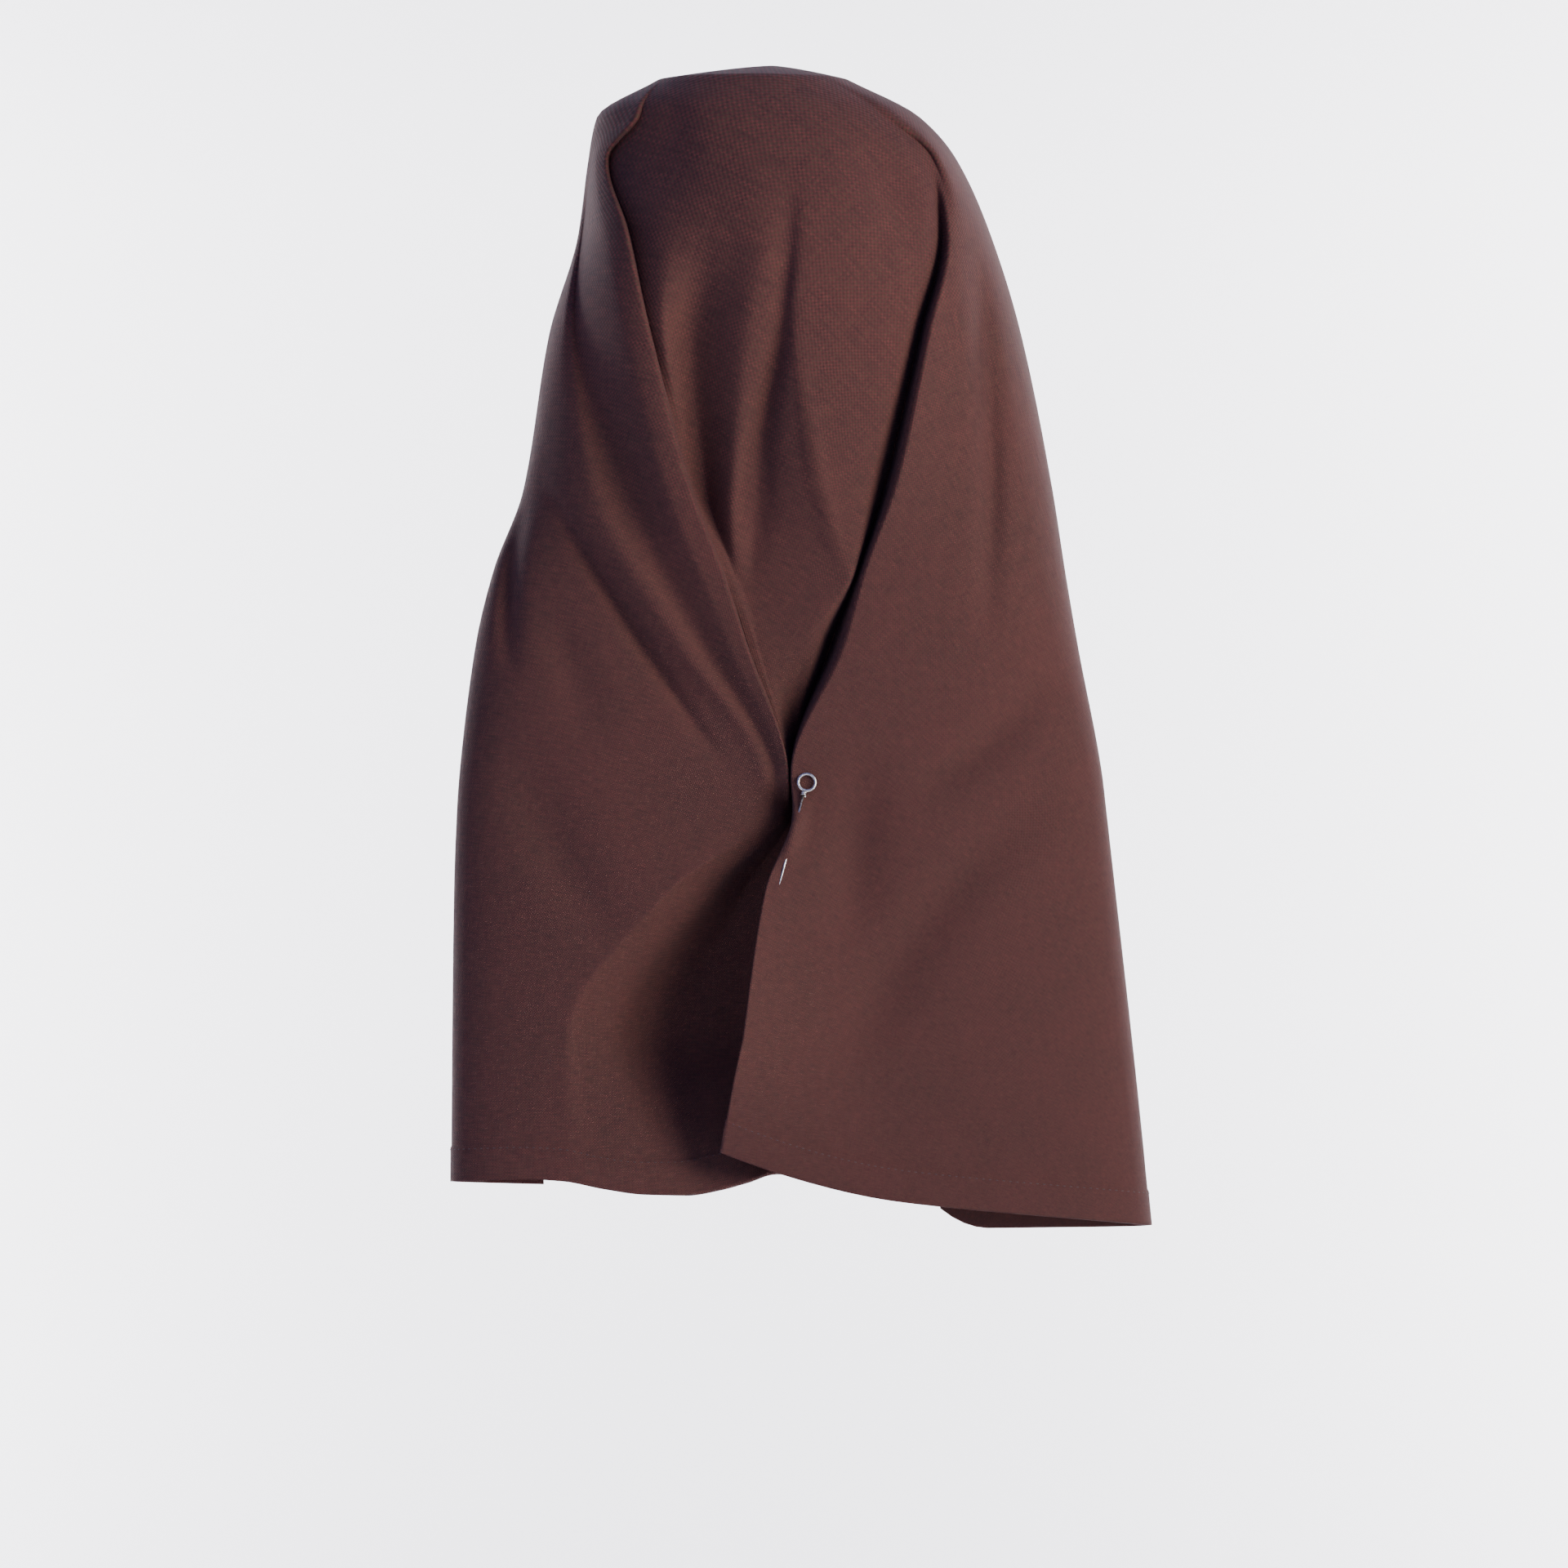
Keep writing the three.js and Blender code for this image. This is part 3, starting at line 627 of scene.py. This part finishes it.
@dataclass(frozen=True)
class DrawnWire:
    """Bright drawn steel wire, with fine lines along it and small scuffs."""

    name: str = "drawn_steel"
    bright: Colour = (0.86, 0.83, 0.76)
    dull: Colour = (0.42, 0.39, 0.34)
    roughness: float = 0.26
    scuff_scale: float = 900.0
    line_scales: Colour = (9000.0, 9000.0, 300.0)
    relief: float = 0.03 * MM

    def build(self) -> Graph:
        """Builds the metal.

        Returns:
            The finished material.
        """
        g = Graph(self.name)
        place = g.node("ShaderNodeTexCoord", {}, {}, "Object")
        scuffs = g.noise(place, self.scuff_scale, 4.0, 0.6)
        lines = g.noise(g.scaled(place, self.line_scales), 1.0, 1.0)
        worn = ((scuffs - 0.42) * 3.0).clamped()
        g.feed(g.shader.inputs["Base Color"], g.mix(worn, self.dull, self.bright))
        g.feed(g.shader.inputs["Metallic"], 1.0)
        g.feed(g.shader.inputs["Roughness"], scuffs * 0.2 + lines * 0.1 + (self.roughness - 0.12))
        bump = g.node("ShaderNodeBump", {}, {"Strength": 0.25, "Distance": self.relief, "Height": lines})
        g.feed(g.shader.inputs["Normal"], bump)
        return g


@dataclass(frozen=True)
class SewingThread:
    """Dark spun sewing thread."""

    name: str = "sewing_thread"
    colour: Colour = (0.030, 0.012, 0.011)
    pale: Colour = (0.065, 0.028, 0.023)

    def build(self) -> Graph:
        """Builds the thread.

        Returns:
            The finished material.
        """
        g = Graph(self.name)
        place = g.node("ShaderNodeTexCoord", {}, {}, "Object")
        fuzz = g.noise(place, 2500.0, 2.0)
        g.feed(g.shader.inputs["Base Color"], g.mix(fuzz, self.colour, self.pale))
        g.feed(g.shader.inputs["Roughness"], 0.7)
        bump = g.node("ShaderNodeBump", {}, {"Strength": 0.4, "Distance": 0.05 * MM, "Height": fuzz})
        g.feed(g.shader.inputs["Normal"], bump)
        return g


@dataclass(frozen=True)
class StudioPaper:
    """Plain pale paper for the floor and the sweep behind."""

    name: str = "studio_paper"
    colour: Colour = (0.93, 0.93, 0.94)

    def build(self) -> Graph:
        """Builds the paper.

        Returns:
            The finished material.
        """
        g = Graph(self.name)
        place = g.node("ShaderNodeTexCoord", {}, {}, "Object")
        grain = g.noise(place, 300.0, 2.0)
        paler = tuple(min(1.0, part * 1.02) for part in self.colour)
        g.feed(g.shader.inputs["Base Color"], g.mix(grain, self.colour, paler))
        g.feed(g.shader.inputs["Roughness"], 0.9)
        return g


def new_object(name: str, points: Iterable[Sequence[float]],
               faces: Sequence[Sequence[int]]) -> bpy.types.Object:
    """Makes a smooth-shaded mesh object.

    Args:
        name: The object's name.
        points: Its vertices.
        faces: Its faces, as vertex numbers.

    Returns:
        The object, linked to the scene.
    """
    mesh = bpy.data.meshes.new(name)
    mesh.from_pydata([tuple(p) for p in points], [], [tuple(f) for f in faces])
    mesh.validate()
    mesh.polygons.foreach_set("use_smooth", [True] * len(mesh.polygons))
    obj = bpy.data.objects.new(name, mesh)
    bpy.context.scene.collection.objects.link(obj)
    return obj


@dataclass
class VeilCloth:
    """The veil's one cloth, in its worn folds."""

    drape: Drape
    seat: PinSeat
    wall: float = 1.2 * MM
    hem_wall: float = 2.2 * MM
    hem_turn: float = 16.5 * MM
    row_step: float = 3.2 * MM
    hem_row_step: float = 1.3 * MM
    crown_rings: int = 16
    crown_roundness: float = 1.3
    brow_rows: int = 20

    def rows(self) -> list[float]:
        """Lists the rows below the crown's rings, as shares of the drop."""
        drops: list[float] = []
        for upper, lower in zip(SECTIONS[:-1], SECTIONS[1:]):
            step = self.hem_row_step if lower is SECTIONS[-1] else self.row_step
            count = max(2, round((lower.drop - upper.drop) * self.drape.veil_drop / step))
            if upper.drop == BROW:
                count = self.brow_rows
            for k in range(count):
                share = k / count
                fall = 1 - math.cos(share * math.pi / 2) if upper.drop == BROW else share
                drops.append(upper.drop + fall * (lower.drop - upper.drop))
        drops.append(1.0)
        return drops

    @staticmethod
    def columns() -> list[float]:
        """Lists the columns, as places along the lines."""
        return [i + k / line.cells for i, line in enumerate(LINES) for k in range(line.cells)]

    def points(self, drops: Sequence[float], places: Sequence[float]) -> np.ndarray:
        """Finds places on the cloth, with the pucker over the pin.

        Args:
            drops: Shares of the drop.
            places: Places along the lines.

        Returns:
            The points, rows by columns by three.
        """
        grid = self.drape.points(drops, places)
        on_lap = (np.asarray(places) > LAP_EDGE) & (np.asarray(places) < LAP_EDGE + 1)
        grid[..., 1] -= self.seat.pucker(grid) * on_lap[None, :]
        return grid

    def build(self) -> bpy.types.Object:
        """Builds the cloth.

        Returns:
            The cloth's object.
        """
        drops, places = self.rows(), self.columns()
        grid = self.points(drops, places)
        shares = np.arange(1, self.crown_rings) / self.crown_rings
        crown = grid[:1] * shares[:, None, None]
        crown[..., 2] = grid[:1, :, 2] * shares[:, None] ** self.crown_roundness
        whole = np.concatenate([crown, grid])
        closed = self.crown_rings - 1 + sum(1 for drop in drops if drop <= BROW)
        width = len(places)
        vertices = [(0.0, 0.0, 0.0)]
        index = np.zeros(whole.shape[:2], int)
        for r, row in enumerate(whole):
            for c, point in enumerate(row):
                if r < closed and c == width - 1:
                    index[r, c] = index[r, 0]
                    continue
                index[r, c] = len(vertices)
                vertices.append(tuple(point))
        faces = [(0, index[0, c], index[0, c + 1]) for c in range(width - 1)]
        for r in range(len(whole) - 1):
            for c in range(width - 1):
                faces.append((index[r, c], index[r + 1, c], index[r + 1, c + 1], index[r, c + 1]))
        obj = new_object("veil_cloth_folds", vertices, faces)
        self._lay_weave(obj)
        solid = obj.modifiers.new("wall", "SOLIDIFY")
        solid.thickness = self.hem_wall
        solid.offset = 0.0
        solid.vertex_group = self._hem_group(obj, whole, index).name
        solid.thickness_vertex_group = self.wall / self.hem_wall
        return obj

    def _hem_group(self, obj: bpy.types.Object, whole: np.ndarray,
                   index: np.ndarray) -> bpy.types.VertexGroup:
        """Marks the turned-up hem, where the cloth lies double.

        Args:
            obj: The cloth.
            whole: Its points, rows by columns by three.
            index: The vertex number of each point.

        Returns:
            The group, full over the hem.
        """
        group = obj.vertex_groups.new(name="hem")
        above = whole[:, :, 2] - whole[-1:, :, 2]
        group.add(sorted({int(i) for i in index[above < self.hem_turn]}), 1.0, "REPLACE")
        return group

    @staticmethod
    def _lay_weave(obj: bpy.types.Object) -> None:
        """Lays the weave flat over the cloth, in metres.

        Args:
            obj: The cloth.
        """
        obj.data.uv_layers.new(name="weave")
        bpy.ops.object.select_all(action="DESELECT")
        obj.select_set(True)
        bpy.context.view_layer.objects.active = obj
        bpy.ops.object.mode_set(mode="EDIT")
        bpy.ops.mesh.select_all(action="SELECT")
        bpy.ops.uv.unwrap(method="CONFORMAL", margin=0.0)
        bpy.ops.object.mode_set(mode="OBJECT")
        layer = obj.data.uv_layers["weave"]
        flat = np.zeros(len(layer.data) * 2)
        layer.data.foreach_get("uv", flat)
        flat = flat.reshape(-1, 2)
        area_3d = sum(p.area for p in obj.data.polygons)
        area_uv = 0.0
        for p in obj.data.polygons:
            ring = flat[list(p.loop_indices)]
            after = np.roll(ring, -1, axis=0)
            area_uv += abs((ring[:, 0] * after[:, 1] - ring[:, 1] * after[:, 0]).sum()) / 2
        flat *= math.sqrt(area_3d / area_uv)
        layer.data.foreach_set("uv", flat.ravel())
        log.info("weave laid over %.3f square metres", area_3d)


@dataclass
class RingPin:
    """The bent wire pin: a ring, a wrapped neck, a shaft and a point."""

    seat: PinSeat
    wire: float = 1.1 * MM
    ring_diameter: float = 9.8 * MM
    ring_wire: float = 1.5 * MM
    wrap_wire: float = 0.9 * MM
    wrap_turns: float = 2.25
    point: float = 7 * MM
    tip: float = 0.6 * MM
    taper: tuple[float, ...] = (0.5, 0.5, 0.4, 0.16, 0.03)
    sides: int = 16
    ring_steps: int = 48
    wrap_steps: int = 60

    def _tube(self, path: Sequence[Vector], radii: Sequence[float], closed: bool) -> tuple[list, list]:
        """Sweeps a round section along a path.

        Args:
            path: The tube's middle line.
            radii: Its radius at each point.
            closed: Whether it joins up with itself.

        Returns:
            Vertices and faces.
        """
        vertices: list[Vector] = []
        faces: list[tuple[int, ...]] = []
        count = len(path)
        side = Vector((0, 1, 0))
        for i, here in enumerate(path):
            after = path[(i + 1) % count] if closed or i < count - 1 else here
            before = path[i - 1] if closed or i > 0 else here
            along = (after - before).normalized()
            side = (side - along * side.dot(along)).normalized()
            other = along.cross(side)
            for k in range(self.sides):
                turn = 2 * math.pi * k / self.sides
                vertices.append(here + (side * math.cos(turn) + other * math.sin(turn)) * radii[i])
        for i in range(count if closed else count - 1):
            for k in range(self.sides):
                a, b = i * self.sides + k, i * self.sides + (k + 1) % self.sides
                jump = ((i + 1) % count) * self.sides
                faces.append((a, b, jump + (k + 1) % self.sides, jump + k))
        if not closed:
            faces.append(tuple(range(self.sides))[::-1])
            faces.append(tuple(range((count - 1) * self.sides, count * self.sides)))
        return vertices, faces

    def build(self) -> bpy.types.Object:
        """Builds the pin.

        Returns:
            The pin's object.
        """
        ring_radius = (self.ring_diameter - self.ring_wire) / 2
        ring = [Vector((ring_radius * math.cos(t), 0, ring_radius * math.sin(t)))
                for t in np.linspace(0, 2 * math.pi, self.ring_steps, endpoint=False)]
        top, low = -self.ring_diameter / 2 + self.ring_wire, self.ring_diameter / 2 - self.seat.pin_length
        heights = (top, low + self.point, low + self.point * 0.5, low + self.tip, low)
        shaft = [Vector((0, 0, z)) for z in heights]
        shaft_radii = [self.wire * share for share in self.taper]
        wrap_height = self.wrap_turns * self.wrap_wire
        start = -self.ring_diameter / 2 - wrap_height
        helix_radius = (self.wire + self.wrap_wire) / 2
        wraps = [Vector((helix_radius * math.cos(t), helix_radius * math.sin(t),
                         start + wrap_height * t / (2 * math.pi * self.wrap_turns)))
                 for t in np.linspace(0, 2 * math.pi * self.wrap_turns, self.wrap_steps)]
        vertices: list[Vector] = []
        faces: list[tuple[int, ...]] = []
        for path, radii, closed in (
            (ring, [self.ring_wire / 2] * len(ring), True),
            (shaft, shaft_radii, False),
            (wraps, [self.wrap_wire / 2] * len(wraps), False),
        ):
            more, skins = self._tube(path, radii, closed)
            faces += [tuple(i + len(vertices) for i in face) for face in skins]
            vertices += more
        up = -self.seat.down
        across = Vector((0, 1, 0)).cross(up).normalized()
        facing = up.cross(across)
        turn = Matrix((across, facing, up)).transposed()
        centre = self.seat.ring_centre
        return new_object("ring_pin", [centre + turn @ v for v in vertices], faces)


@dataclass
class HemStitches:
    """The row of stitches that holds the turned-up hem."""

    cloth: VeilCloth
    inset: float = 15.5 * MM
    length: float = 2.4 * MM
    gap: float = 0.9 * MM
    thickness: float = 0.5 * MM
    proud: float = 1.15 * MM
    columns: int = 4000
    search_rows: int = 48
    sides: int = 6
    rings: int = 5
    end_share: float = 0.55
    swell: float = 0.45
    look_ahead: float = 0.5 * MM

    def build(self) -> bpy.types.Object:
        """Builds the stitches as one joined mesh.

        Returns:
            The stitches' object.
        """
        drops = np.linspace(SKIRT, 1.0, self.search_rows)
        grid = self.cloth.points(drops, np.linspace(0, len(LINES) - 1, self.columns))
        above = grid[:, :, 2] - grid[-1:, :, 2]
        lower = np.argmax(above < self.inset, axis=0)
        column = np.arange(self.columns)
        upper_above, lower_above = above[lower - 1, column], above[lower, column]
        share = ((upper_above - self.inset) / (upper_above - lower_above))[:, None]
        down = grid[lower, column] - grid[lower - 1, column]
        path = grid[lower - 1, column] + down * share
        along = np.gradient(path, axis=0)
        out = np.cross(down, along)
        out /= np.linalg.norm(out, axis=1)[:, None]
        walked = np.concatenate([[0], np.cumsum(np.linalg.norm(np.diff(path, axis=0), axis=1))])
        pitch = self.length + self.gap
        vertices: list[np.ndarray] = []
        faces: list[tuple[int, ...]] = []
        for face_side in (1.0, -1.0):
            for k in range(int(walked[-1] / pitch)):
                start = k * pitch + (0 if face_side > 0 else pitch / 2)
                self._stitch(path, walked, out * face_side, start, vertices, faces)
        return new_object("hem_stitches", vertices, faces)

    def _stitch(self, path: np.ndarray, walked: np.ndarray, out: np.ndarray, start: float,
                vertices: list[np.ndarray], faces: list[tuple[int, ...]]) -> None:
        """Adds one stitch that dips into the cloth at its ends.

        Args:
            path: The line of stitching.
            walked: The length walked along it at each of its points.
            out: The way out of the cloth at each of its points.
            start: Where the stitch starts.
            vertices: The mesh's vertices so far.
            faces: The mesh's faces so far.
        """
        sides, rings = self.sides, self.rings
        first = len(vertices)
        for r in range(rings):
            share = r / (rings - 1)
            at = start + share * self.length
            here = np.array([np.interp(at, walked, path[:, i]) for i in range(3)])
            normal = np.array([np.interp(at, walked, out[:, i]) for i in range(3)])
            later = at + self.look_ahead
            ahead = np.array([np.interp(later, walked, path[:, i]) for i in range(3)]) - here
            side = np.cross(normal, ahead)
            side /= max(np.linalg.norm(side), 1e-9)
            full = self.end_share + self.swell * math.sin(math.pi * share)
            lift = self.proud * full
            radius = self.thickness / 2 * full
            for k in range(sides):
                turn = 2 * math.pi * k / sides
                off = normal * (lift + radius * math.sin(turn))
                vertices.append(here + off + side * radius * math.cos(turn))
        for r in range(rings - 1):
            for k in range(sides):
                a, b = first + r * sides + k, first + r * sides + (k + 1) % sides
                faces.append((a, a + sides, b + sides, b))
        faces.append(tuple(first + k for k in range(sides)))
        faces.append(tuple(first + (rings - 1) * sides + k for k in range(sides))[::-1])


@dataclass
class Studio:
    """The floor, the lights and the camera at the photograph's angle."""

    image_size: float = 1920.0
    pixel: float = 0.40 * MM
    crown_column: float = 945.0
    distance: float = 5.0
    plane: float = -60 * MM
    height: float = -355.5 * MM
    sensor: float = 36.0
    floor_level: float = -0.86
    sweep_start: float = 0.9
    sweep_radius: float = 0.9
    sweep_width: float = 7.0
    sweep_top: float = 5.0
    sweep_steps: int = 16
    floor_front: float = -6.0
    world_colour: Colour = (0.34, 0.40, 1.0)
    world_strength: float = 0.66

    def camera(self) -> None:
        """Makes the camera."""
        data = bpy.data.cameras.new("camera")
        obj = bpy.data.objects.new("camera", data)
        bpy.context.scene.collection.objects.link(obj)
        half = self.image_size / 2
        data.sensor_width = self.sensor
        data.lens = self.sensor * self.distance / (self.image_size * self.pixel)
        obj.location = ((half - self.crown_column) * self.pixel, self.plane - self.distance, self.height)
        obj.rotation_euler = (math.pi / 2, 0, 0)
        bpy.context.scene.camera = obj

    def floor(self) -> bpy.types.Object:
        """Makes the floor with a sweep up behind it.

        Returns:
            The floor's object.
        """
        profile = [(self.floor_front, self.floor_level), (self.sweep_start, self.floor_level)]
        for k in range(1, self.sweep_steps + 1):
            turn = math.pi / 2 * k / self.sweep_steps
            profile.append((self.sweep_start + self.sweep_radius * math.sin(turn),
                            self.floor_level + self.sweep_radius * (1 - math.cos(turn))))
        profile.append((profile[-1][0], self.sweep_top))
        half = self.sweep_width / 2
        points = [(x, y, z) for y, z in profile for x in (-half, half)]
        faces = [(2 * i, 2 * i + 1, 2 * i + 3, 2 * i + 2) for i in range(len(profile) - 1)]
        return new_object("studio_floor", points, faces)

    @staticmethod
    def _panel(name: str, place: Colour, target: Colour, size: float, power: float, colour: Colour) -> None:
        """Adds one soft light.

        Args:
            name: The light's name.
            place: Where it hangs.
            target: What it faces.
            size: Its side.
            power: Its power, in watts.
            colour: Its colour.
        """
        data = bpy.data.lights.new(name, "AREA")
        data.energy, data.size, data.color = power, size, colour
        obj = bpy.data.objects.new(name, data)
        bpy.context.scene.collection.objects.link(obj)
        obj.location = place
        obj.rotation_euler = (Vector(target) - Vector(place)).to_track_quat("-Z", "Y").to_euler()

    def lights(self) -> None:
        """Hangs the lights and the soft light all round."""
        middle = (0.0, -0.05, -0.3)
        self._panel("key", (1.85, -1.45, 0.4), middle, 1.5, 90.0, (1.0, 0.95, 0.87))
        self._panel("fill", (-1.2, -2.2, -0.1), middle, 1.6, 5.0, (0.85, 0.9, 1.0))
        self._panel("left_rim", (-1.6, 1.1, 0.2), middle, 1.2, 1.2, (0.8, 0.84, 1.0))
        self._panel("right_rim", (1.7, 1.1, 0.3), middle, 1.2, 1.2, (0.86, 0.9, 1.0))
        backdrop = (0.0, 1.8, -0.3)
        self._panel("backdrop_left", (-1.2, 1.0, -0.2), backdrop, 0.8, 62.0, (1.0, 0.98, 0.95))
        self._panel("backdrop_right", (1.2, 1.0, -0.2), backdrop, 0.8, 62.0, (1.0, 0.98, 0.95))
        world = bpy.data.worlds.new("studio")
        bpy.context.scene.world = world
        world.use_nodes = True
        background = world.node_tree.nodes["Background"]
        background.inputs[0].default_value = (*self.world_colour, 1.0)
        background.inputs[1].default_value = self.world_strength


def main() -> None:
    """Builds the veil, its pin and its stitches, and the studio round them."""
    logging.basicConfig(level=logging.INFO, format="%(name)s: %(message)s")
    drape = Drape()
    seat = PinSeat(drape)

    studio = Studio()
    studio.camera()
    studio.lights()
    floor = studio.floor()
    StudioPaper().build().dress(floor)
    log.info("studio: floor, lights and camera")

    veil = VeilCloth(drape, seat)
    cloth = veil.build()
    WovenCloth().build().dress(cloth)
    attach(cloth, BODY)
    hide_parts(CLOTH_NODE)
    log.info("cloth: %d points", len(cloth.data.vertices))

    stitches = HemStitches(veil).build()
    SewingThread().build().dress(stitches)
    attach(stitches, BODY)
    log.info("stitches: %d points", len(stitches.data.vertices))

    pin = RingPin(seat).build()
    DrawnWire().build().dress(pin)
    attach(pin, BODY)
    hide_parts(PIN_NODE)
    log.info("pin: %d points", len(pin.data.vertices))


if __name__ == "__main__":
    main()
